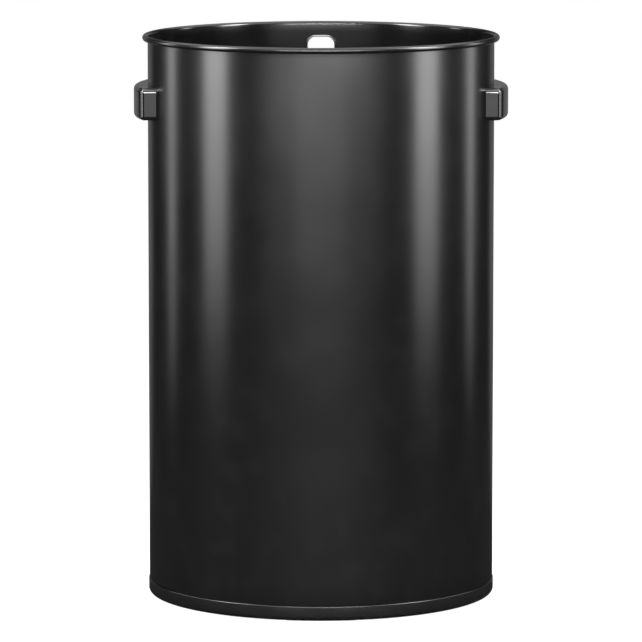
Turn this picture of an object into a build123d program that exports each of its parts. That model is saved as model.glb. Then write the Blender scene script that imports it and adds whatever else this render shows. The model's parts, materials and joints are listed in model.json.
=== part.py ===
from build123d import *
from math import acos, asin, degrees, hypot
import os

# Open-topped round waste bin of coated sheet steel, with a grip on each side.
# Millimetres. Z is up from the floor, the front faces -Y, the slot is at the back,
# and the grips are on the left (-X) and the right (+X).

# Body
overall_height = 610.0
body_diameter = 375.0
sheet = 0.7
bottom_bend = 1.5
hem_play = 0.4

# Curled rim and the wire in it
rim_wire_diameter = 5.0
rim_wire_play = 0.05
curl_end_gap = 0.2

# Slot at the back, and the moulded edging in it
slot_width = 29.6
slot_height = 22.0
slot_corner = 5.2
slot_below_rim = 17.3
edging_web = 0.9
edging_lip = 1.75
edging_lip_thickness = 0.8
edging_play = 0.05

# Base ring, a moulded channel that is open on top
ring_height = 15.5
ring_width = 18.3
ring_proud = 0.8
ring_wall = 2.5
ring_bottom_round = 6.5
ring_top_round = 0.8
ring_inner_round = 1.0
ring_rib = 1.6
ring_rib_count = 12
ring_boss_diameter = 9.0

# Rubber pads let into the underside of the ring
pad_count = 6
pad_width = 7.0
pad_angle = 24.0
pad_thickness = 2.0
pad_proud = 0.5
pad_corner = 2.5
pad_play = 0.15

# Pressed floor
floor_sheet = 0.8
floor_bend = 1.5
floor_lip = 4.0
floor_play = 0.15
floor_slope = 6.0
floor_rise = 4.2
floor_press_radius = 4.0
floor_bead_radius = 95.0
floor_bead_width = 18.0
floor_bead_depth = 2.5

# Screws that hold the floor and the body to the ring
floor_screw_count = 6
floor_screw_diameter = 4.0
floor_screw_length = 12.0
floor_screw_head = 9.5
floor_screw_head_height = 2.2
floor_screw_play = 0.25

# Side grips, moulded caps that are open below and towards the body
grip_height = 34.5
grip_length = 126.0
grip_projection = 15.1
grip_below_rim = 54.0
grip_wall = 3.0
grip_round = 4.5
grip_pocket_round = 1.5
grip_seat = 0.1
grip_rib = 2.0
grip_rib_spacing = 84.0
grip_rib_setback = 3.0

# Screw fixing of the grips
grip_screw_spacing = 100.0
grip_screw_below_top = 15.0
grip_screw_diameter = 5.0
grip_screw_length = 12.0
grip_screw_head = 9.5
grip_screw_head_height = 3.0
grip_screw_play = 0.25
grip_boss_diameter = 11.0
insert_diameter = 7.0
insert_length = 8.0
insert_groove = 0.4
insert_play = 0.05
thread_play = 0.05
washer_diameter = 9.0
washer_thickness = 1.2
washer_slit = 0.8
backing_thickness = 1.5
backing_height = 22.0
backing_inset = 1.0
backing_corner = 6.0

# Radii and heights that follow from the sizes above
body_radius = body_diameter / 2
body_inside = body_radius - sheet
ring_bottom = pad_proud
ring_top = ring_bottom + ring_height
ring_outer = body_radius + ring_proud
ring_inner = ring_outer - ring_width
channel_outer = ring_outer - ring_wall
channel_inner = ring_inner + ring_wall
ring_middle = (channel_outer + channel_inner) / 2
channel_floor = ring_bottom + ring_wall
hem_inside = ring_middle + ring_boss_diameter / 2 + hem_play

curl_inside = rim_wire_diameter / 2 + rim_wire_play
curl_outside = curl_inside + sheet
curl_centre = body_radius + curl_inside
curl_height = overall_height - curl_outside
curl_wrap = 360 - degrees(acos((curl_inside - curl_end_gap) / curl_outside))

floor_underside = ring_top + sheet
floor_top = floor_underside + floor_sheet

slot_middle = overall_height - slot_below_rim - slot_height / 2

grip_top = overall_height - grip_below_rim
grip_bottom = grip_top - grip_height
grip_outer = body_radius + grip_projection
grip_inner = body_radius + grip_seat
pocket_outer = grip_outer - grip_wall
half_pocket = grip_length / 2 - grip_wall
grip_screw_height = grip_top - grip_screw_below_top
grip_screw_angle = degrees(asin(grip_screw_spacing / 2 / body_radius))
backing_outer = body_inside - grip_seat
backing_inner = backing_outer - backing_thickness
washer_seat = backing_inner - grip_seat
grip_screw_seat = washer_seat - washer_thickness
bolt_hole = grip_screw_diameter / 2 + grip_screw_play
floor_screw_hole = floor_screw_diameter / 2 + floor_screw_play

upright = (Align.CENTER, Align.CENTER, Align.MIN)


def block_between(low, high):
    """Rectangle in the R-Z plane from its lowest to its highest corner."""
    middle = Pos((low[0] + high[0]) / 2, (low[1] + high[1]) / 2)
    return middle * Rectangle(high[0] - low[0], high[1] - low[1])


def turned(section, angle=360.0):
    """Revolve an R-Z section about Z, to either side of the +X direction."""
    return Rot(0, 0, -angle / 2) * revolve(Plane.XZ * section, Axis.Z, angle)


def corner(section, x, y):
    """The vertex of a section that is nearest to a point."""
    return section.vertices().sort_by_distance((x, y, 0))[0]


def radial(angle, height):
    """Place things so that their Z axis points outwards from the bin's axis."""
    return Rot(0, 0, angle) * Pos(0, 0, height) * Rot(0, 90, 0)


def around(count, piece, first=0.0):
    """Copies of a piece, evenly spaced about Z."""
    return [Rot(0, 0, first + i * 360 / count) * piece for i in range(count)]


def at_grip_screws(piece):
    """Two copies of a piece, one on the axis of each screw of the right-hand grip."""
    return [
        radial(angle, grip_screw_height) * piece
        for angle in (-grip_screw_angle, grip_screw_angle)
    ]


def curved_block(inner, outer, bottom, top, half_length):
    """Part of a round wall on the +X side, with ends cut square to Y."""
    reach = degrees(asin((half_length + outer - inner) / outer))
    wall = turned(block_between((inner, bottom), (outer, top)), 2 * reach)
    cutter = Box(2 * outer, 2 * half_length, 2 * top)
    return wall & cutter


def outer_edges(block, inner):
    """Every edge of a curved block except those that lie on its inner face."""
    clear = inner + grip_seat / 2
    return [e for e in block.edges() if hypot((e @ 0.5).X, (e @ 0.5).Y) > clear]


def slot_shape(margin, near, far):
    """Block with the slot's outline, grown by a margin, between two distances in Y."""
    outline = RectangleRounded(
        slot_width + 2 * margin, slot_height + 2 * margin, slot_corner + margin
    )
    back = Plane(origin=(0, near, slot_middle), x_dir=(-1, 0, 0), z_dir=(0, 1, 0))
    return extrude(back * outline, far - near)


def pad_shape(play, bottom, top):
    """One rubber pad under the ring, or with play the recess that it sits in."""
    half = pad_width / 2 + play
    section = block_between((ring_middle - half, bottom), (ring_middle + half, top))
    end_play = degrees(play / ring_middle)
    pad = turned(section, pad_angle + 2 * end_play)
    return fillet(pad.edges().filter_by(Axis.Z), pad_corner + play)


def body_section():
    """Bottom hem, wall and curl of the sheet, as one closed outline."""
    outside = [
        Line((hem_inside, ring_top), (body_radius - bottom_bend, ring_top)),
        CenterArc(
            (body_radius - bottom_bend, ring_top + bottom_bend), bottom_bend, 270, 90
        ),
        Line((body_radius, ring_top + bottom_bend), (body_radius, curl_height)),
        CenterArc((curl_centre, curl_height), curl_inside, 180, -curl_wrap),
    ]
    inner_bend = bottom_bend - sheet
    inside = [
        Line((hem_inside, floor_underside), (body_radius - bottom_bend, floor_underside)),
        CenterArc(
            (body_radius - bottom_bend, ring_top + bottom_bend), inner_bend, 270, 90
        ),
        Line((body_inside, ring_top + bottom_bend), (body_inside, curl_height)),
        CenterArc((curl_centre, curl_height), curl_outside, 180, -curl_wrap),
    ]
    ends = [
        Line((hem_inside, ring_top), (hem_inside, floor_underside)),
        Line(outside[-1] @ 1, inside[-1] @ 1),
    ]
    return make_face(outside + inside + ends)


def body_shell():
    """Rolled sheet tube with its rim curled outwards and its bottom hemmed inwards."""
    shell = turned(body_section())
    shell -= slot_shape(edging_web + edging_play, body_radius / 2, body_radius + sheet)
    bolts = at_grip_screws(Cylinder(bolt_hole, grip_outer, align=upright))
    return shell.cut(*bolts, *[Rot(0, 0, 180) * bolt for bolt in bolts])


def rim_wire():
    """Wire that the rim is curled round."""
    return Pos(0, 0, curl_height) * Torus(curl_centre, rim_wire_diameter / 2)


def slot_edging():
    """Moulded edging that lines the slot and lips over both faces of the sheet."""
    lip_inside = body_inside - edging_lip_thickness
    lip_outside = body_radius + edging_lip_thickness
    near = lip_inside / 2
    far = body_diameter
    curve = turned(block_between((lip_inside, 0), (lip_outside, overall_height)))
    sheet_room = turned(
        block_between(
            (body_inside - edging_play, 0), (body_radius + edging_play, overall_height)
        )
    )
    edging = curve & slot_shape(edging_lip, near, far)
    groove = slot_shape(2 * edging_lip, near, far) - slot_shape(edging_web, near, far)
    edging -= sheet_room & groove
    edging -= slot_shape(0, near, far)
    return edging


def ring_outline():
    """Outside of the base ring, with its deep round at the floor."""
    outline = block_between((ring_inner, ring_bottom), (ring_outer, ring_top))
    outline = fillet(corner(outline, ring_outer, ring_bottom), ring_bottom_round)
    outline = fillet(corner(outline, ring_outer, ring_top), ring_top_round)
    return fillet(corner(outline, ring_inner, ring_bottom), ring_inner_round)


def ring_channel():
    """Hollow of the base ring, open on top, which follows the round outside it."""
    low = (channel_inner, channel_floor)
    channel = block_between(low, (channel_outer, 2 * ring_top))
    channel_round = max(ring_bottom_round - ring_wall, ring_inner_round)
    return fillet(corner(channel, channel_outer, channel_floor), channel_round)


def ring_ribs():
    """Cross ribs in the channel. Their edges run half a wall into the ring."""
    section = offset(ring_channel(), ring_wall / 2)
    section &= block_between((0, 0), (ring_outer, ring_top))
    rib = extrude(Plane.XZ * section, ring_rib / 2, both=True)
    return around(ring_rib_count, rib, 180 / ring_rib_count)


def base_ring():
    """Moulded ring with ribs and screw bosses in its channel.

    The bosses stand one sheet higher than the ring, so that they meet the floor,
    which lies on the body's hem.
    """
    ring = turned(ring_outline() - ring_channel())
    boss_height = floor_underside - ring_bottom - ring_wall / 2
    boss = Cylinder(ring_boss_diameter / 2, boss_height, align=upright)
    boss = Pos(ring_middle, 0, floor_underside - boss_height) * boss
    ring = ring.fuse(*ring_ribs(), *around(floor_screw_count, boss))
    pilot = Cylinder(floor_screw_diameter / 2 + thread_play, ring_height, align=upright)
    pilots = around(floor_screw_count, Pos(ring_middle, 0, channel_floor) * pilot)
    recess = pad_shape(pad_play, 0, pad_thickness)
    return ring.cut(*pilots, *around(pad_count, recess, 180 / pad_count))


def anti_slip_pads():
    """Rubber pads in the underside of the ring. They stand a little proud of it."""
    pad = pad_shape(0, 0, pad_thickness)
    return Compound(around(pad_count, pad, 180 / pad_count))


def floor_section():
    """Pressed floor: its upper line with rounded bends, given thickness below it."""
    lip = body_inside - floor_play - floor_sheet
    raised = floor_top + floor_rise
    bead_out = (floor_bead_radius + floor_bead_width / 2, raised)
    bead_low = (floor_bead_radius, raised - floor_bead_depth)
    bead_in = (floor_bead_radius - floor_bead_width / 2, raised)
    rim = FilletPolyline(
        (lip, floor_top + floor_lip),
        (lip, floor_top),
        (ring_inner, floor_top),
        (ring_inner - floor_slope, raised),
        bead_out,
        radius=[floor_bend, floor_press_radius, floor_press_radius],
    )
    bead = ThreePointArc(bead_out, bead_low, bead_in)
    middle = Line(bead_in, (0, raised))
    line = Wire(rim.edges() + bead.edges() + middle.edges())
    strip = make_face(line.offset_2d(floor_sheet, side=Side.LEFT).edges())
    return strip & block_between((0, 0), (body_radius, 2 * raised))


def floor_pan():
    """Pressed disc that lies on the body's bottom hem."""
    pan = turned(floor_section())
    hole = Pos(ring_middle, 0, floor_top) * Cylinder(floor_screw_hole, 4 * floor_sheet)
    return pan.cut(*around(floor_screw_count, hole))


def screw(diameter, length, head_diameter, head_height):
    """Screw with a domed head. Its seat is at z = 0 and its shank points down."""
    half_head = head_diameter / 2
    dome = (half_head**2 + head_height**2) / (2 * head_height)
    head = Pos(0, 0, head_height - dome) * Sphere(dome)
    head &= Cylinder(half_head, head_height, align=upright)
    tip = diameter / 4
    shank = Pos(0, 0, -length) * Cylinder(diameter / 2, length, align=upright)
    shank = chamfer(shank.edges().sort_by(Axis.Z)[0], tip)
    return head + shank


def floor_screws():
    """Screws through the floor into the ring. They clamp the body's hem between the two."""
    fastener = screw(
        floor_screw_diameter,
        floor_screw_length,
        floor_screw_head,
        floor_screw_head_height,
    )
    place = Pos(ring_middle, 0, floor_top)
    return Compound(around(floor_screw_count, place * fastener))


def grip_pocket():
    """Hollow of the right-hand grip, open below and towards the body."""
    inner = body_radius - grip_wall
    bottom = grip_bottom - grip_wall
    top = grip_top - grip_wall
    pocket = curved_block(inner, pocket_outer, bottom, top, half_pocket)
    return fillet(outer_edges(pocket, inner), grip_pocket_round)


def grip():
    """Right-hand grip: a moulded cap with two ribs and two screw bosses inside."""
    block = curved_block(grip_inner, grip_outer, grip_bottom, grip_top, grip_length / 2)
    block = fillet(outer_edges(block, grip_inner), grip_round)
    in_wall = pocket_outer + grip_wall / 2
    rib_bottom = grip_bottom + grip_rib_setback
    inside = block & curved_block(grip_inner, in_wall, rib_bottom, grip_top, half_pocket)
    slab = Box(3 * grip_outer, grip_rib, 3 * grip_top)
    ribs = [
        inside & Pos(0, side * grip_rib_spacing / 2, 0) * slab for side in (-1, 1)
    ]
    boss = Cylinder(grip_boss_diameter / 2, in_wall - grip_inner, align=upright)
    bosses = at_grip_screws(Pos(0, 0, grip_inner) * boss)
    cap = (block - grip_pocket()).fuse(*ribs, *bosses)
    hole_end = grip_screw_seat + grip_screw_length + thread_play
    hole = Cylinder(insert_diameter / 2 + insert_play, hole_end, align=upright)
    return cap.cut(*at_grip_screws(hole))


def grip_inserts():
    """Brass threaded inserts in the bosses of the grip."""
    groove_width = insert_length / 4
    insert = Cylinder(insert_diameter / 2, insert_length, align=upright)
    groove = Pos(0, 0, insert_length / 2 - groove_width / 2) * (
        Cylinder(insert_diameter, groove_width, align=upright)
        - Cylinder(insert_diameter / 2 - insert_groove, groove_width, align=upright)
    )
    bore = Cylinder(grip_screw_diameter / 2 + thread_play, insert_length, align=upright)
    return at_grip_screws(Pos(0, 0, grip_inner + grip_seat) * (insert - groove - bore))


def grip_screws():
    """Screws from inside the body, through the backing strip, into the inserts."""
    fastener = screw(
        grip_screw_diameter, grip_screw_length, grip_screw_head, grip_screw_head_height
    )
    return at_grip_screws(Pos(0, 0, grip_screw_seat) * Rot(180, 0, 0) * fastener)


def grip_washers():
    """Split lock washers under the heads of the grip's screws."""
    washer = Cylinder(washer_diameter / 2, washer_thickness, align=upright)
    washer -= Cylinder(bolt_hole, washer_thickness, align=upright)
    slit = Box(washer_diameter, washer_slit, 4 * washer_thickness)
    washer -= Pos(washer_diameter / 2, 0, 0) * slit
    return at_grip_screws(Pos(0, 0, grip_screw_seat) * washer)


def grip_backing():
    """Curved steel strip inside the body that spreads the load of the screws."""
    length = grip_length - 2 * backing_inset
    low = grip_screw_height - backing_height
    high = grip_screw_height + backing_height
    strip = curved_block(backing_inner, backing_outer, low, high, length)
    outline = RectangleRounded(length, backing_height, backing_corner)
    side = Plane.YZ.offset(body_radius / 2) * Pos(0, grip_screw_height) * outline
    strip &= extrude(side, body_radius)
    return strip.cut(*at_grip_screws(Cylinder(bolt_hole, grip_outer, align=upright)))


def save(name, piece):
    """Write a piece, or a list of separate solids, to its own file."""
    whole = Compound(piece) if isinstance(piece, list) else piece
    export_step(whole, f"parts/{name}.step")


def both_sides(name, pieces):
    """Save a piece of the right-hand grip, and its copy for the left-hand one."""
    group = pieces if isinstance(pieces, list) else [pieces]
    save(f"{name}_right", group)
    save(f"{name}_left", [Rot(0, 0, 180) * piece for piece in group])


os.makedirs("parts", exist_ok=True)
save("body_shell", body_shell())
save("rim_wire", rim_wire())
save("slot_edging", slot_edging())
save("base_ring", base_ring())
save("anti_slip_pads", anti_slip_pads())
save("floor_pan", floor_pan())
save("floor_screws", floor_screws())
both_sides("grip", grip())
both_sides("grip_inserts", grip_inserts())
both_sides("grip_screws", grip_screws())
both_sides("grip_washers", grip_washers())
both_sides("grip_backing", grip_backing())
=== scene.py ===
import bmesh
import bpy
import json
import math
import numpy as np
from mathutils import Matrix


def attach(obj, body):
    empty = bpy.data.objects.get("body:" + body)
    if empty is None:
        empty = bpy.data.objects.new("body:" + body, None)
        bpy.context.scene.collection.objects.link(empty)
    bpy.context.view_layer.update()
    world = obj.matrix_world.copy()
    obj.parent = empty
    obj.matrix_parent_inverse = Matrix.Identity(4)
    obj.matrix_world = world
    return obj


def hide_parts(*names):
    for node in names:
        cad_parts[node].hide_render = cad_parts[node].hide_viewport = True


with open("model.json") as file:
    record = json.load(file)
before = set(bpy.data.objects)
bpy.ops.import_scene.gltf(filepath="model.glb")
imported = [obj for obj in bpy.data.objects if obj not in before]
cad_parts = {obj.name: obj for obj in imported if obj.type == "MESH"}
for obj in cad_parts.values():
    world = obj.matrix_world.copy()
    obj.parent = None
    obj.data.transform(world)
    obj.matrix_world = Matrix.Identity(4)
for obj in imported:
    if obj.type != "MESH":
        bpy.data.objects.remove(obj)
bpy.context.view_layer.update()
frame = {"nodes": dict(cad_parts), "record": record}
nodes = frame["nodes"]
mm = 0.001
weldDistance = 2e-6  # metres
sharpAngle = 40  # degrees
print("frame loaded:", len(nodes), "nodes")


# Mesh tools. A piece is one or more grids of points in millimetres, welded where they meet.


# Even steps from start to end: start + t * (end - start), t from 0 to 1.
def linePoints(start, end, steps):
    t = np.linspace(0, 1, steps)[:, None]
    return np.asarray(start) * (1 - t) + np.asarray(end) * t


# Arc in the plane of a profile: centre + radius * (cos a, sin a), a from start to end in degrees.
def arcPoints(centre, radius, start, end, steps):
    a = np.radians(np.linspace(start, end, steps))
    return np.stack([centre[0] + radius * np.cos(a), centre[1] + radius * np.sin(a)], 1)


# Closed outline with rounded corners. Each corner is the arc that touches both of its sides:
# centre = corner + (u + v) / |u + v| * radius / sin(half), u and v along the sides, half the half angle.
def roundCorners(corners, radii, steps):
    corners = np.asarray(corners, float)
    parts = []
    for i, radius in enumerate(radii):
        corner = corners[i]
        sides = np.stack([corners[i - 1], corners[(i + 1) % len(corners)]]) - corner
        u, v = sides / np.linalg.norm(sides, axis=1)[:, None]
        half = math.acos(u @ v) / 2
        if radius == 0:
            parts.append(corner[None])
            continue
        centre = corner + (u + v) / np.linalg.norm(u + v) * radius / math.sin(half)
        start = corner + u * radius / math.tan(half) - centre
        end = corner + v * radius / math.tan(half) - centre
        turn = math.pi - 2 * half
        t = np.linspace(0, turn, steps)[:, None]
        parts.append(centre + (np.sin(turn - t) * start + np.sin(t) * end) / math.sin(turn))
    return np.concatenate(parts)


# One profile from several, where each starts at the last point of the one before.
def joinProfile(*parts):
    return np.concatenate([parts[0]] + [part[1:] for part in parts[1:]])


# Corner numbers of a grid's quads, for points numbered row by row. The last column joins the first, and
# the last row too where the rows close.
def gridQuads(rows, cols, closeRows):
    i, j = np.meshgrid(np.arange(rows - (not closeRows)), np.arange(cols), indexing="ij")
    below = (i + 1) % rows
    right = (j + 1) % cols
    quads = [i * cols + j, i * cols + right, below * cols + right, below * cols + j]
    return np.stack(quads, -1).reshape(-1, 4)


# A profile (r, z) turned about Z: x = r cos a, y = r sin a.
def turnProfile(profile, angles, closed=True):
    r = profile[:, 0][:, None]
    z = profile[:, 1][:, None]
    points = np.stack([r * np.cos(angles), r * np.sin(angles), z + 0 * angles], -1)
    return points.reshape(-1, 3), gridQuads(len(profile), len(angles), closed)


# Even angles of a full turn: i * 2 * pi / steps.
def fullTurn(steps):
    return np.arange(steps) * 2 * math.pi / steps


# The mesh object for a list of (points, quads). Its points are welded where they meet, and edges that
# turn by more than an angle are sharp.
def makePiece(name, grids, material, replaced):
    points = np.concatenate([grid[0] for grid in grids]) * mm
    starts = np.cumsum([0] + [len(grid[0]) for grid in grids[:-1]])
    quads = np.concatenate([grid[1] + start for grid, start in zip(grids, starts)])
    mesh = bpy.data.meshes.new(name)
    mesh.vertices.add(len(points))
    mesh.vertices.foreach_set("co", points.astype(np.float32).ravel())
    mesh.loops.add(quads.size)
    mesh.loops.foreach_set("vertex_index", quads.astype(np.int32).ravel())
    mesh.polygons.add(len(quads))
    mesh.polygons.foreach_set("loop_start", np.arange(0, quads.size, 4, dtype=np.int32))
    mesh.update(calc_edges=True)
    weld = bmesh.new()
    weld.from_mesh(mesh)
    bmesh.ops.remove_doubles(weld, verts=weld.verts, dist=weldDistance)
    bmesh.ops.recalc_face_normals(weld, faces=weld.faces)
    weld.to_mesh(mesh)
    weld.free()
    mesh.shade_smooth()
    mesh.set_sharp_from_angle(angle=math.radians(sharpAngle))
    mesh.materials.append(material)
    piece = bpy.data.objects.new(name, mesh)
    bpy.context.scene.collection.objects.link(piece)
    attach(piece, "root")
    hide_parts(replaced)
    return piece


# Shader tools. An expression on sockets adds its own Math nodes.


noiseRange = (0.3, 0.7)  # where most of a noise's values lie


class Socket:
    def __init__(self, tree, out):
        self.tree = tree
        self.out = out

    # One node: its settings first, then its inputs as links or values.
    def node(self, kind, settings=None, values=None, output=0):
        made = self.tree.nodes.new(kind)
        for key, value in (settings or {}).items():
            setattr(made, key, value)
        for key, value in (values or {}).items():
            if isinstance(value, Socket):
                self.tree.links.new(value.out, made.inputs[key])
            else:
                made.inputs[key].default_value = value
        return Socket(self.tree, made.outputs[output])

    # One Math node. With no input named, this value is the first.
    def math(self, operation, *values):
        inputs = dict(enumerate(values or (self,)))
        return self.node("ShaderNodeMath", {"operation": operation}, inputs)

    def __add__(self, other):
        return self.math("ADD", self, other)

    def __radd__(self, other):
        return self.math("ADD", other, self)

    def __sub__(self, other):
        return self.math("SUBTRACT", self, other)

    def __rsub__(self, other):
        return self.math("SUBTRACT", other, self)

    def __mul__(self, other):
        return self.math("MULTIPLY", self, other)

    def __rmul__(self, other):
        return self.math("MULTIPLY", other, self)

    # The three parts of a vector.
    def axes(self):
        return [self.node("ShaderNodeSeparateXYZ", values={0: self}, output=i) for i in range(3)]

    # Smooth step of this value from one range to another.
    def spread(self, low, high, start=0.0, end=1.0):
        values = {"Value": self, "From Min": low, "From Max": high, "To Min": start, "To Max": end}
        return self.node("ShaderNodeMapRange", {"interpolation_type": "SMOOTHSTEP"}, values)

    # Noise at this place, with as many octaves as the detail says.
    def noise(self, scale, detail=2.0):
        return self.node("ShaderNodeTexNoise", values={"Vector": self, "Scale": scale, "Detail": detail})

    # A colour between two, with this value as the share of the second. Inputs 6 and 7 are the colours.
    def mix(self, low, high):
        settings = {"data_type": "RGBA", "clamp_factor": True}
        return self.node("ShaderNodeMix", settings, {0: self, 6: low, 7: high}, output=2)

    # The normal of a relief whose height is this value * distance.
    def bump(self, strength, distance):
        values = {"Strength": strength, "Distance": distance, "Height": self}
        return self.node("ShaderNodeBump", values=values)


# A material with one Principled shader, and the object's own coordinates in metres.
def newMaterial(name, **constants):
    material = bpy.data.materials.new(name)
    material.use_nodes = True
    tree = material.node_tree
    shader = next(node for node in tree.nodes if node.type == "BSDF_PRINCIPLED")
    for socket, value in constants.items():
        shader.inputs[socket.replace("_", " ")].default_value = value
    return material, shader, Socket(tree, tree.nodes.new("ShaderNodeTexCoord").outputs["Object"])


# Link values to a shader's inputs by name.
def plug(shader, **links):
    for socket, value in links.items():
        value.tree.links.new(value.out, shader.inputs[socket.replace("_", " ")])


# Materials

coating = {  # satin black coat on the sheet; lengths in metres
    "base": (0.004, 0.004, 0.0042, 1), "worn": (0.007, 0.007, 0.0072, 1), "roughness": 0.232,
    "drift": 0.012, "driftScale": 11.0, "wornScale": 40.0, "wornRange": (0.45, 0.75), "ior": 2.0,
    "peelScale": 700, "peelHeight": 0.00001, "insideRadius": 0.1872, "insideShare": 0.62,
    "seamPlace": 0.042, "seamWidth": 0.0011, "seamHeight": 0.00012, "seamGrain": 900.0,
}


# Black coat: a fine orange peel, and a shine that drifts a little over the sheet. The wall's coat is
# smoother inside, where sqrt(x * x + y * y) is less than a radius, and its bump has a flat weld line at
# the back: e ** -((x - place) / width) ** 2, where y > 0.
def coatMaterial(name, onWall=False):
    material, shader, place = newMaterial(name, IOR=coating["ior"])
    low = coating["roughness"] - coating["drift"]
    high = coating["roughness"] + coating["drift"]
    rough = place.noise(coating["driftScale"]).spread(*noiseRange, low, high)
    relief = place.noise(coating["peelScale"], detail=3.0) * coating["peelHeight"]
    if onWall:
        x, y = place.axes()[:2]
        radius = (x * x + y * y).math("SQRT")
        inside = radius.math("LESS_THAN", radius, coating["insideRadius"])
        rough = rough * (1 - (1 - coating["insideShare"]) * inside)
        aside = (x - coating["seamPlace"]) * (1 / coating["seamWidth"])
        line = (0 - aside * aside).math("EXPONENT") * y.math("GREATER_THAN", y, 0.0)
        uneven = 0.7 + 0.3 * place.noise(coating["seamGrain"])
        relief = relief + line * uneven * coating["seamHeight"]
    worn = place.noise(coating["wornScale"], detail=4.0).spread(*coating["wornRange"])
    color = worn.mix(coating["base"], coating["worn"])
    normal = relief.bump(strength=1.0, distance=1.0)
    plug(shader, Roughness=rough, Normal=normal, Base_Color=color)
    return material


mouldings = {  # black plastics; lengths in metres
    "glossMoulding": {
        "base": (0.006, 0.006, 0.0062, 1), "pale": (0.009, 0.009, 0.0092, 1), "roughness": 0.12,
        "drift": 0.02, "ior": 2.4, "grain": 1500.0, "grainHeight": 0.000002,
    },
    "satinMoulding": {
        "base": (0.007, 0.007, 0.0072, 1), "pale": (0.013, 0.013, 0.0132, 1), "roughness": 0.24,
        "drift": 0.03, "ior": 2.2, "grain": 1600.0, "grainHeight": 0.00002,
    },
}


scuffs = {  # lengths in metres
    "height": 0.005, "scale": 260.0, "range": (0.45, 0.65), "dullness": 0.15, "flowScale": 30.0,
}


# Moulded plastic: the tool's fine grain as a bump, cloudy flow marks in the shine, and a scuffed foot
# near the floor, 1 at z = 0 and 0 from a height up, broken by a fine noise.
def mouldedMaterial(name):
    look = mouldings[name]
    material, shader, place = newMaterial(name, IOR=look["ior"])
    foot = place.axes()[2].spread(0.0, scuffs["height"], 1.0, 0.0)
    scuff = foot * place.noise(scuffs["scale"], detail=5.0).spread(*scuffs["range"])
    low = look["roughness"] - look["drift"]
    high = look["roughness"] + look["drift"]
    rough = place.noise(scuffs["flowScale"], detail=3.0).spread(*noiseRange, low, high)
    plug(
        shader, Roughness=rough + scuffs["dullness"] * scuff,
        Base_Color=scuff.mix(look["base"], look["pale"]),
        Normal=place.noise(look["grain"]).bump(strength=1.0, distance=look["grainHeight"]),
    )
    return material


rubber = {  # lengths in metres
    "base": (0.012, 0.012, 0.012, 1), "dust": (0.05, 0.048, 0.045, 1), "shine": (0.68, 0.85),
    "dustRange": (0.52, 0.8), "shineRange": (0.2, 0.8), "grain": 900.0, "grainHeight": 0.00004,
}


# Rubber: a dull black with a little dust in its grain.
def rubberMaterial():
    material, shader, place = newMaterial("blackRubber", IOR=1.5)
    grain = place.noise(rubber["grain"], detail=4.0)
    plug(
        shader, Base_Color=grain.spread(*rubber["dustRange"]).mix(rubber["base"], rubber["dust"]),
        Roughness=grain.spread(*rubber["shineRange"], *rubber["shine"]),
        Normal=grain.bump(strength=0.6, distance=rubber["grainHeight"]),
    )
    return material


metals = {  # colours of the two tones, and the shine between them
    "zincPlate": {"low": (0.44, 0.45, 0.46, 1), "high": (0.6, 0.59, 0.55, 1), "shine": (0.28, 0.45)},
    "stainlessFastener": {"low": (0.5, 0.5, 0.49, 1), "high": (0.62, 0.61, 0.6, 1), "shine": (0.2, 0.34)},
    "turnedBrass": {"low": (0.68, 0.45, 0.18, 1), "high": (0.8, 0.58, 0.28, 1), "shine": (0.18, 0.32)},
}


metalGrain = {  # lengths in metres
    "cloudScale": 120.0, "cloudRange": (0.35, 0.65), "cloudShare": 0.6,
    "markScale": 3200.0, "markShare": 0.4, "markHeight": 0.00001,
}


# Bare metal: clouds between two tones, with fine random marks.
def metalMaterial(name):
    look = metals[name]
    material, shader, place = newMaterial(name, Metallic=1.0)
    cloud = place.noise(metalGrain["cloudScale"], detail=4.0)
    marks = place.noise(metalGrain["markScale"], detail=3.0)
    blend = metalGrain["cloudShare"] * cloud + metalGrain["markShare"] * marks
    plug(
        shader, Base_Color=cloud.spread(*metalGrain["cloudRange"]).mix(look["low"], look["high"]),
        Roughness=blend.spread(*noiseRange, *look["shine"]),
        Normal=marks.bump(strength=0.4, distance=metalGrain["markHeight"]),
    )
    return material


wireLook = {  # lengths in metres
    "low": (0.36, 0.36, 0.35, 1), "high": (0.52, 0.52, 0.5, 1), "shine": (0.25, 0.42),
    "lines": 5200.0, "lineHeight": 0.00002,
}


# Drawn wire: lines that run along the ring, a noise on (distance from the axis, height) alone.
def wireMaterial():
    material, shader, place = newMaterial("drawnWire", Metallic=1.0)
    x, y, z = place.axes()
    radius = (x * x + y * y).math("SQRT")
    across = place.node("ShaderNodeCombineXYZ", values={0: radius, 1: z})
    lines = across.noise(wireLook["lines"])
    plug(
        shader, Base_Color=lines.spread(*noiseRange).mix(wireLook["low"], wireLook["high"]),
        Roughness=lines.spread(*noiseRange, *wireLook["shine"]),
        Normal=lines.bump(strength=0.5, distance=wireLook["lineHeight"]),
    )
    return material


coat = coatMaterial("satinBlackCoat")
wallCoat = coatMaterial("satinBlackWallCoat", onWall=True)
glossPlastic = mouldedMaterial("glossMoulding")
satinPlastic = mouldedMaterial("satinMoulding")
padRubber = rubberMaterial()
zinc = metalMaterial("zincPlate")
stainless = metalMaterial("stainlessFastener")
brass = metalMaterial("turnedBrass")
wire = wireMaterial()
print("materials made")


# Sheet wall

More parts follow.
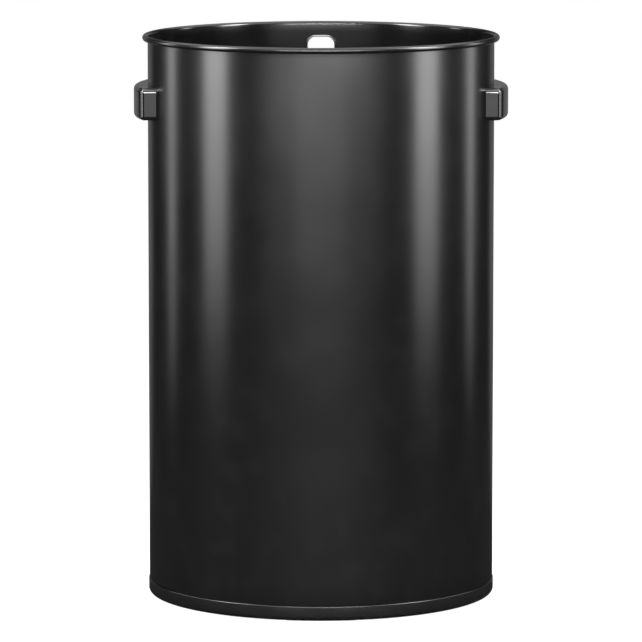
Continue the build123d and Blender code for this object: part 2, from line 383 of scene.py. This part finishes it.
wall = {  # millimetres and degrees
    "radius": 187.5, "sheet": 0.7, "bend": 1.5, "foot": 16.0, "top": 610.0,
    "hemInside": 184.05, "wireRoom": 2.55, "curlGap": 0.2, "columnGap": 1.2, "rowGap": 20.0,
    "slotWidth": 31.5, "slotHeight": 23.9, "slotCorner": 9.95, "slotMiddle": 581.7,
    "boltHole": 5.5, "boltAngle": 15.466, "boltHeight": 541.0,
    "boltMargin": 3.5, "slotMargin": 5.0, "windowColumns": 24, "boltRows": 12, "slotRows": 16,
    "patchRows": 6, "cornerSteps": 24, "outlineSteps": 1200, "curlSteps": (30, 40), "hemSteps": (5, 8),
}
curlCentre = (wall["radius"] + wall["wireRoom"], wall["top"] - wall["wireRoom"] - wall["sheet"])


# Values that rise from stop to stop, in even steps no longer than the gap of that stretch.
def spacedStops(stops, gaps):
    counts = np.ceil(np.diff(stops) / gaps).astype(int)
    runs = [np.linspace(a, b, n, endpoint=False) for a, b, n in zip(stops[:-1], stops[1:], counts)]
    return np.concatenate(runs + [stops[-1:]])


# The wall's openings, with the place of each, its size, and the finer grid's margin round it.
def wallOpenings():
    size = wall["boltHole"]
    bolt = {
        "height": wall["boltHeight"], "width": size, "tall": size, "corner": size / 2,
        "margin": wall["boltMargin"],
    }
    slot = {
        "angle": 90.0, "height": wall["slotMiddle"], "width": wall["slotWidth"],
        "tall": wall["slotHeight"], "corner": wall["slotCorner"], "margin": wall["slotMargin"],
    }
    turn = wall["boltAngle"]
    bolts = [{"angle": angle, **bolt} for angle in (-turn, turn, 180 - turn, 180 + turn)]
    return bolts[:2] + [slot] + bolts[2:]


# Lowest and highest line of the finer grid round an opening.
def rowBounds(item):
    return (item["height"] - item["tall"] / 2 - item["margin"],
            item["height"] + item["tall"] / 2 + item["margin"])


# Column angles, row heights, and the four grid lines that frame each opening. A frame's half width is
# asin((width / 2 + margin) / radius).
def wallGrid(openings):
    reaches = [(item["width"] / 2 + item["margin"]) / wall["radius"] for item in openings]
    halves = np.degrees([math.asin(reach) for reach in reaches])
    edges = [(item["angle"] - half, item["angle"] + half) for item, half in zip(openings, halves)]
    sides = np.concatenate(edges)
    across = np.append(sides, sides[0] + 360)
    fine = halves / (wall["windowColumns"] / 2)
    columns = spacedStops(across, np.stack([fine, np.full(len(halves), wall["columnGap"])], 1).ravel())
    frames = sorted({rowBounds(item) for item in openings})
    lines = np.concatenate([[wall["foot"] + wall["bend"]], np.ravel(frames), [curlCentre[1]]])
    plain = wall["rowGap"]
    boltGap = (lines[2] - lines[1]) / wall["boltRows"]
    slotGap = (lines[4] - lines[3]) / wall["slotRows"]
    rows = spacedStops(lines, np.array([plain, boltGap, plain, slotGap, plain]))
    windows = []
    for item, left, right in zip(openings, sides[::2], sides[1::2]):
        besides = [np.argmin(abs(columns - side)) for side in (left, right)]
        windows.append(besides + [np.argmin(abs(rows - bound)) for bound in rowBounds(item)])
    return np.radians(columns[:-1]), rows, windows


# An opening's outline as distances from its middle: a rounded rectangle, read by direction.
def outlineReach(width, height, corner, directions):
    x = width / 2
    z = height / 2
    outline = roundCorners([(-x, -z), (x, -z), (x, z), (-x, z)], [corner] * 4, wall["cornerSteps"])
    outline = np.concatenate([outline, outline[:1]])
    along = np.append(0, np.cumsum(np.linalg.norm(np.diff(outline, axis=0), axis=1)))
    even = np.linspace(0, along[-1], wall["outlineSteps"])
    dense = np.stack([np.interp(even, along, outline[:, 0]), np.interp(even, along, outline[:, 1])], 1)
    turn = np.arctan2(dense[:, 1], dense[:, 0])
    order = np.argsort(turn)
    return np.interp(directions, turn[order], np.linalg.norm(dense, axis=1)[order], period=2 * math.pi)


# Columns and rows of the grid points round a window, one after another.
def windowBorder(left, right, low, high):
    wide = right - left
    tall = high - low
    cols = [np.arange(left, right), np.full(tall, right), np.arange(right, left, -1), np.full(tall, left)]
    rows = [np.full(wide, low), np.arange(low, high), np.full(wide, high), np.arange(high, low, -1)]
    return np.concatenate(cols), np.concatenate(rows)


# One face of the straight wall: its grid without the windows, and in each window a patch from the
# window's border to the opening, border + t * (opening - border), with x = radius * sin(angle - middle).
def wallFace(radius, angles, heights, openings, windows):
    points, quads = turnProfile(np.stack([0 * heights + radius, heights], 1), angles, closed=False)
    keep = np.ones((len(heights) - 1, len(angles)), bool)
    grids = []
    rims = []
    t = np.linspace(0, 1, wall["patchRows"])[:, None]
    for item, (left, right, low, high) in zip(openings, windows):
        keep[low:high, left:right] = False
        cols, rows = windowBorder(left, right, low, high)
        middle = math.radians(item["angle"])
        x = radius * np.sin(angles[cols] - middle)
        z = heights[rows] - item["height"]
        direction = np.arctan2(z, x)
        reach = outlineReach(item["width"], item["tall"], item["corner"], direction)
        x = x * (1 - t) + reach * np.cos(direction) * t
        z = z * (1 - t) + reach * np.sin(direction) * t
        turn = middle + np.arcsin(x / radius)
        patch = np.stack([radius * np.cos(turn), radius * np.sin(turn), item["height"] + z], -1)
        grids.append((patch.reshape(-1, 3), gridQuads(len(t), len(cols), False)))
        rims.append(patch[-1])
    return [(points, quads[keep.ravel()])] + grids, rims


# The curl at the top as a profile (r, z): inner arc, lip, outer arc, all round the wire's middle.
def curlProfile():
    near = wall["wireRoom"]
    far = near + wall["sheet"]
    end = math.degrees(math.acos((near - wall["curlGap"]) / far)) - 180
    lip = [arcPoints(curlCentre, size, end, end, 1)[0] for size in (near, far)]
    return joinProfile(
        arcPoints(curlCentre, near, 180, end, wall["curlSteps"][0]),
        linePoints(lip[0], lip[1], 2),
        arcPoints(curlCentre, far, end, 180, wall["curlSteps"][1]),
    )


# The flange at the sheet's foot: inner bend, top, edge, underside, outer bend.
def hemProfile():
    r = wall["radius"]
    s = wall["sheet"]
    b = wall["bend"]
    z = wall["foot"]
    return joinProfile(
        arcPoints((r - b, z + b), b - s, 0, -90, wall["hemSteps"][0]),
        linePoints((r - b, z + s), (wall["hemInside"], z + s), 3),
        linePoints((wall["hemInside"], z + s), (wall["hemInside"], z), 2),
        linePoints((wall["hemInside"], z), (r - b, z), 3),
        arcPoints((r - b, z + b), b, -90, 0, wall["hemSteps"][1]),
    )


# The two faces, a strip through the sheet in each opening, the curl and the hem.
def makeWall():
    openings = wallOpenings()
    angles, heights, windows = wallGrid(openings)
    outer, outerRims = wallFace(wall["radius"], angles, heights, openings, windows)
    inner, innerRims = wallFace(wall["radius"] - wall["sheet"], angles, heights, openings, windows)
    edges = [
        (np.concatenate([out, back]), gridQuads(2, len(out), False))
        for out, back in zip(outerRims, innerRims)
    ]
    ends = [turnProfile(profile, angles, closed=False) for profile in (curlProfile(), hemProfile())]
    return makePiece("canWall", outer + inner + edges + ends, wallCoat, "body_shell")


canWall = makeWall()
print("wall made:", len(canWall.data.polygons), "faces")


# Slot edging: a moulded channel that holds the sheet's edge

edging = {  # millimetres: web behind the sheet's edge, lip, rounds, and the radii of the lips' faces
    "width": 29.6, "height": 22.0, "corner": 9.0, "web": 0.9, "lip": 1.75, "round": 0.2,
    "innerFace": 186.0, "innerSeat": 186.75, "outerSeat": 187.55, "outerFace": 188.3, "middle": 581.7,
    "roundSteps": 5, "cornerSteps": 14,
}


# Section (m, radius) carried round the slot: each row is the outline moved out by m, with
# outline(m) = outline(0) + m * (outline(1) - outline(0)), and y = sqrt(radius ** 2 - x ** 2).
def makeEdging():
    web = edging["web"]
    lip = edging["lip"]
    faces = [edging[name] for name in ("innerFace", "innerSeat", "outerSeat", "outerFace")]
    corners = [(0, faces[0]), (lip, faces[0]), (lip, faces[1]), (web, faces[1]),
               (web, faces[2]), (lip, faces[2]), (lip, faces[3]), (0, faces[3])]
    soft = edging["round"]
    rounds = [soft, soft, soft, 0, 0, soft, soft, soft]
    section = roundCorners(corners, rounds, edging["roundSteps"])
    x = edging["width"] / 2
    z = edging["height"] / 2
    signs = np.array([(-1, -1), (1, -1), (1, 1), (-1, 1)])
    steps = edging["cornerSteps"]
    inner, outer = [
        roundCorners(signs * (x + m, z + m), [edging["corner"] + m] * 4, steps) for m in (0, 1)
    ]
    out = section[:, 0][:, None, None]
    outline = inner + out * (outer - inner)
    depth = np.sqrt(section[:, 1][:, None] ** 2 - outline[..., 0] ** 2)
    points = np.stack([outline[..., 0], depth, edging["middle"] + outline[..., 1]], -1)
    grid = (points.reshape(-1, 3), gridQuads(len(section), len(inner), True))
    makePiece("slotEdging", [grid], glossPlastic, "slot_edging")


makeEdging()
print("slot edging made")


# Base ring: a moulded channel, open on top, with cross ribs and screw bosses

ring = {  # millimetres
    "outer": 188.3, "inner": 170.0, "bottom": 0.5, "top": 16.0, "wall": 2.5, "footRound": 4.6,
    "topRound": 0.8, "innerRound": 1.0, "channelRound": 2.0, "edgeRound": 0.3,
    "ribs": 12, "ribThick": 1.6, "ribSunk": 1.0, "ribTop": 15.6,
    "bosses": 6, "boss": 9.0, "bossTop": 16.7, "pilot": 4.1, "ribRound": 0.5,
    "steps": 300, "bossSteps": 32, "cornerSteps": 7, "smallSteps": 4,
}


# Closed section (r, z) of the ring, from the foot's inner corner round the outside and into the channel.
def ringSection():
    near = ring["inner"] + ring["wall"]
    far = ring["outer"] - ring["wall"]
    low = ring["bottom"] + ring["wall"]
    corners = [
        (ring["inner"], ring["bottom"]), (ring["outer"], ring["bottom"]), (ring["outer"], ring["top"]),
        (far, ring["top"]), (far, low), (near, low), (near, ring["top"]), (ring["inner"], ring["top"]),
    ]
    edge = ring["edgeRound"]
    channel = ring["channelRound"]
    rounds = [ring["innerRound"], ring["footRound"], ring["topRound"], edge, channel, channel, edge, edge]
    return roundCorners(corners, rounds, ring["cornerSteps"])


# A closed outline (r, z) as an upright plate of some thickness: two copies at y = -half and half, joined
# by a band and closed by caps, all turned about Z.
def plateGrid(outline, thick, angle):
    turn = math.radians(angle)
    sides = np.array([-thick / 2, thick / 2])[:, None]
    r = outline[:, 0] + 0 * sides
    y = sides + 0 * outline[:, 0]
    z = outline[:, 1] + 0 * sides
    c = math.cos(turn)
    s = math.sin(turn)
    points = np.stack([r * c - y * s, r * s + y * c, z], -1)
    half = len(outline) // 2
    lower = np.arange(half)
    rungs = np.stack([lower[:-1], lower[1:], 2 * half - 2 - lower[:-1], 2 * half - 1 - lower[:-1]], 1)
    band = gridQuads(2, 2 * half, False)
    return points.reshape(-1, 3), np.concatenate([band, rungs, rungs + 2 * half])


# A pillar or tube turned about its own axis and moved out to a radius.
def pillarGrid(section, radius, angle):
    points, quads = turnProfile(section, fullTurn(ring["bossSteps"]))
    turn = math.radians(angle)
    return points + (radius * math.cos(turn), radius * math.sin(turn), 0), quads


# The turned channel, its ribs sunk a little into floor and walls, and its bosses.
def makeRing():
    grids = [turnProfile(ringSection(), fullTurn(ring["steps"]))]
    low = ring["bottom"] + ring["wall"] - ring["ribSunk"]
    near = ring["inner"] + ring["wall"] - ring["ribSunk"]
    far = ring["outer"] - ring["wall"] + ring["ribSunk"]
    corners = [(near, low), (far, low), (far, ring["ribTop"]), (near, ring["ribTop"])]
    soft = ring["ribRound"]
    steps = ring["smallSteps"]
    rib = roundCorners(corners, [soft, ring["channelRound"], soft, soft], steps)
    spacing = 360 / ring["ribs"]
    for i in range(ring["ribs"]):
        grids.append(plateGrid(rib, ring["ribThick"], (i + 0.5) * spacing))
    hole = ring["pilot"] / 2
    wide = ring["boss"] / 2
    top = ring["bossTop"]
    edge = ring["edgeRound"]
    boss = roundCorners([(hole, low), (wide, low), (wide, top), (hole, top)], [0, 0, edge, edge], steps)
    middle = (ring["inner"] + ring["outer"]) / 2
    for i in range(ring["bosses"]):
        grids.append(pillarGrid(boss, middle, i * 360 / ring["bosses"]))
    makePiece("baseRing", grids, satinPlastic, "base_ring")


makeRing()
print("base ring made")


# Screws with a domed head, a hexagon socket and a thread

screws = {  # millimetres
    "length": 12.0, "head": 9.5, "underHead": 0.4, "rim": 0.1, "steps": 36, "domeSteps": 10,
    "socket": 3.0, "socketShare": 0.62, "socketMouth": 1.25, "chamfer": 0.15,
    "threadShare": 0.16, "pitch": 0.8, "stepsPerPitch": 8,
    "floorCount": 6, "floorShank": 4.0, "floorHead": 2.2, "floorRing": 179.15, "floorSeat": 17.5,
    "gripShank": 5.0, "gripHead": 3.0, "gripSeat": 183.9,
}


# A screw along Z with its seat at 0 and its head above. Each row has a radius and a height. The dome is
# a parabola. In the socket the radius is half the width over flats / cos(a mod 60 - 30 degrees), and
# along the thread radius - depth * |1 - 2 * frac(z / pitch + turn)|.
def screwGrid(shank, headHeight):
    turns = fullTurn(screws["steps"])
    flat = screws["socket"] / 2
    wide = screws["head"] / 2
    dome = np.linspace(screws["socketMouth"] * flat, wide, screws["domeSteps"])
    share = (dome - dome[0]) / (wide - dome[0])
    rise = headHeight - (headHeight - screws["underHead"]) * share ** 2
    socket = [0, flat, flat]
    deep = headHeight * (1 - screws["socketShare"])
    mouth = headHeight - screws["chamfer"]
    thread = np.arange(0, screws["length"], screws["pitch"] / screws["stepsPerPitch"])
    shaft = [shank / 2] * len(thread)
    radius = np.concatenate([socket, dome, [wide - screws["rim"]], shaft, [0]])
    height = np.concatenate([[deep, deep, mouth], rise, [0], -thread, [-screws["length"]]])
    hexagon = 1 / np.cos(np.mod(turns, math.pi / 3) - math.pi / 6)
    inSocket = (np.arange(len(radius)) < len(socket))[:, None]
    inThread = ((height < -screws["pitch"]) & (radius > 0))[:, None]
    wave = np.abs(1 - 2 * np.mod(height[:, None] / screws["pitch"] + turns / (2 * math.pi), 1))
    reach = radius[:, None] * np.where(inSocket, hexagon, 1)
    reach = reach - inThread * wave * screws["threadShare"] * shank / 2
    points = np.stack([reach * np.cos(turns), reach * np.sin(turns), height[:, None] + 0 * turns], -1)
    return points.reshape(-1, 3), gridQuads(len(radius), len(turns), False)


# A screw set down on the floor pan: moved out along X, then turned about Z.
def standingScrew(grid, angle):
    points = grid[0] + (screws["floorRing"], 0, screws["floorSeat"])
    c = math.cos(angle)
    s = math.sin(angle)
    return points @ np.array([[c, s, 0], [-s, c, 0], [0, 0, 1]]), grid[1]


# A screw laid along a radius: its own Z points to the can's axis, its X sideways, its Y up.
def radialScrew(grid, angle):
    c = math.cos(angle)
    s = math.sin(angle)
    out = screws["gripSeat"] - grid[0][:, 2]
    side = grid[0][:, 0]
    points = np.stack([out * c - side * s, out * s + side * c, wall["boltHeight"] + grid[0][:, 1]], 1)
    return points, grid[1]


# The six of the floor, and two for each grip at middle angle -+ bolt angle.
def makeScrews():
    small = screwGrid(screws["floorShank"], screws["floorHead"])
    large = screwGrid(screws["gripShank"], screws["gripHead"])
    count = screws["floorCount"]
    standing = [standingScrew(small, math.radians(i * 360 / count)) for i in range(count)]
    makePiece("floorScrews", standing, stainless, "floor_screws")
    turns = (-wall["boltAngle"], wall["boltAngle"])
    for side, middle in (("Right", 0), ("Left", 180)):
        pair = [radialScrew(large, math.radians(middle + turn)) for turn in turns]
        makePiece(f"gripScrews{side}", pair, stainless, f"grip_screws_{side.lower()}")


makeScrews()
print("screws made")


# CAD nodes whose shape is right keep it and get their material here.

nodeMaterials = {
    "body_coating": coat, "grip_plastic": glossPlastic, "edging_plastic": glossPlastic,
    "ring_plastic": satinPlastic, "pad_rubber": padRubber, "wire_steel": wire,
    "backing_steel": zinc, "screw_steel": stainless, "insert_brass": brass,
}
for part in frame["record"]["subparts"]:
    node = nodes[part["node"]]
    node.data.materials.clear()
    node.data.materials.append(nodeMaterials[part["material_slot"]])
print("node materials set")


# Stage: camera, floor, lamps, and cards that paint the can's reflections

camera = {  # degrees, metres, and millimetres for lens and sensor
    "elevation": 7.58, "distance": 5.633, "target": 0.2969, "lens": 290.0, "sensor": 36, "farthest": 100,
}


# The camera stands in front (-Y) and a little above, and looks down at the can's axis.
def addCamera():
    made = bpy.data.objects.new("camera", bpy.data.cameras.new("camera"))
    bpy.context.scene.collection.objects.link(made)
    tilt = math.radians(camera["elevation"])
    reach = camera["distance"]
    made.location = (0, -reach * math.cos(tilt), camera["target"] + reach * math.sin(tilt))
    made.rotation_euler = (math.pi / 2 - tilt, 0, 0)
    made.data.lens = camera["lens"]
    made.data.sensor_width = camera["sensor"]
    made.data.clip_end = camera["farthest"]
    bpy.context.scene.camera = made


floorLook = {"size": 60, "color": (0.8, 0.8, 0.8, 1), "lift": 0.72, "worldFill": 0.35}


# 1 for rays that show the background as it is: camera, glossy and transmission rays.
def shownRays(tree):
    path = tree.nodes.new("ShaderNodeLightPath")
    rays = [Socket(tree, path.outputs[f"Is {kind} Ray"]) for kind in ("Camera", "Glossy", "Transmission")]
    return rays[0].math("MINIMUM", rays[0] + rays[1] + rays[2], 1.0)


# A pale floor. Shown rays see it lifted to white, and it keeps the can's shadow.
def addFloor():
    half = floorLook["size"] / 2
    mesh = bpy.data.meshes.new("floor")
    corners = [(-half, -half, 0), (half, -half, 0), (half, half, 0), (-half, half, 0)]
    mesh.from_pydata(corners, [], [(0, 1, 2, 3)])
    material, shader = newMaterial(
        "paleFloor", Base_Color=floorLook["color"], Roughness=1.0, Specular_IOR_Level=0.0,
        Emission_Color=(1, 1, 1, 1),
    )[:2]
    tree = material.node_tree
    tree.links.new((shownRays(tree) * floorLook["lift"]).out, shader.inputs["Emission Strength"])
    mesh.materials.append(material)
    made = bpy.data.objects.new("floor", mesh)
    bpy.context.scene.collection.objects.link(made)


# A white sky at full strength for shown rays, and weaker as light on the can.
def addWorld():
    world = bpy.data.worlds.new("white")
    bpy.context.scene.world = world
    world.use_nodes = True
    tree = world.node_tree
    sky = next(node for node in tree.nodes if node.type == "BACKGROUND")
    sky.inputs["Color"].default_value = (1, 1, 1, 1)
    fill = floorLook["worldFill"]
    tree.links.new((shownRays(tree) * (1 - fill) + fill).out, sky.inputs["Strength"])


lamps = {  # degrees from the camera, metres, radiance at the top, share of it at the bottom
    "keyStrip": {
        "azimuth": 69.3, "distance": 1.3, "width": 0.39, "bottom": 0.12, "top": 1.77,
        "radiance": 14.7, "bottomShare": 0.0,
    },
    "rimStrip": {
        "azimuth": 110.4, "distance": 1.3, "width": 0.19, "bottom": 0.03, "top": 1.06,
        "radiance": 4.8, "bottomShare": 0.0,
    },
    "frontBank": {
        "azimuth": 0, "distance": 2.5, "width": 3.6, "bottom": 0.72, "top": 0.95,
        "radiance": 36.0, "bottomShare": 0.0,
    },
    "frontSoft": {
        "azimuth": 0, "distance": 2.5, "width": 1.4, "bottom": 0.19, "top": 1.07,
        "radiance": 0.86, "bottomShare": 0.42,
    },
}


# An upright soft box that faces the can's axis. Its light rises evenly from bottom to top. Its power is
# radiance * pi * area.
def addLamp(name, azimuth, distance, width, bottom, top, radiance, bottomShare):
    light = bpy.data.lights.new(name, "AREA")
    light.shape = "RECTANGLE"
    light.size = width
    light.size_y = top - bottom
    light.energy = radiance * math.pi * width * (top - bottom)
    light.use_nodes = True
    tree = light.node_tree
    emission = next(node for node in tree.nodes if node.type == "EMISSION")
    place = Socket(tree, tree.nodes.new("ShaderNodeNewGeometry").outputs["Parametric"])
    height = place.node("ShaderNodeSeparateXYZ", values={0: place}, output=1)
    tree.links.new((height * (1 - bottomShare) + bottomShare).out, emission.inputs["Strength"])
    made = bpy.data.objects.new(name, light)
    bpy.context.scene.collection.objects.link(made)
    turn = math.radians(azimuth)
    made.location = (distance * math.sin(turn), -distance * math.cos(turn), (bottom + top) / 2)
    made.rotation_euler = (math.pi / 2, 0, turn)
    made.visible_camera = False


# Cards of painted reflection: dark sheets and glowing pale panels that only glossy rays see. They darken
# and brighten the can's reflections but light nothing.
reflectionCards = {  # metres; the glows are the radiances of the pale cards behind the can
    "radius": 2.8, "height": 2.2, "color": (0.01, 0.01, 0.01, 1), "darkLift": 0.0005, "paleLift": 0.001,
    "floorGlow": 0.14, "backGlow": 0.2, "start": 0.25, "end": 2.3, "backHeight": 1.1, "slope": 0.62,
    "steps": 48,
}


# A mesh that is seen only in the can's reflections: a painted reflection that lights nothing and casts no
# shadow.
def addReflectionCard(name, points, quads, glow):
    mesh = bpy.data.meshes.new(name)
    mesh.from_pydata(points, [], quads)
    material = newMaterial(
        name, Base_Color=reflectionCards["color"], Roughness=1.0, Emission_Color=(1, 1, 1, 1), Emission_Strength=glow
    )[0]
    mesh.materials.append(material)
    made = bpy.data.objects.new(name, mesh)
    bpy.context.scene.collection.objects.link(made)
    made.visible_camera = False
    made.visible_diffuse = False
    made.visible_transmission = False
    made.visible_shadow = False


# Painted reflections: dark cards all round and on the floor, and behind the can a grey glowing one that
# lies on the floor and a paler glowing one that stands at its far end. Their half width is slope *
# distance.
def addReflectionCards():
    edge = reflectionCards["radius"]
    outline = np.array([[0.0, reflectionCards["darkLift"]], [edge, reflectionCards["darkLift"]], [edge, reflectionCards["height"]]]) / mm
    points, quads = turnProfile(outline, fullTurn(reflectionCards["steps"]), closed=False)
    addReflectionCard("paintedDarkReflection", (points * mm).tolist(), quads.tolist(), 0.0)
    end = reflectionCards["end"]
    rows = [(reflectionCards["start"], reflectionCards["paleLift"]), (end, reflectionCards["paleLift"]), (end, reflectionCards["backHeight"])]
    corners = [(side * reflectionCards["slope"] * y, y, z) for y, z in rows for side in (-1, 1)]
    addReflectionCard("paintedFloorReflection", corners[:4], [(0, 1, 3, 2)], reflectionCards["floorGlow"])
    addReflectionCard("paintedBackReflection", corners[2:], [(0, 1, 3, 2)], reflectionCards["backGlow"])


addCamera()
addFloor()
addWorld()
addReflectionCards()
for name, look in lamps.items():
    if look["azimuth"] == 0:
        addLamp(name, **look)
        continue
    addLamp(f"{name}Left", **{**look, "azimuth": -look["azimuth"]})
    addLamp(f"{name}Right", **look)
bpy.context.scene.view_settings.view_transform = "Standard"
print("stage set")
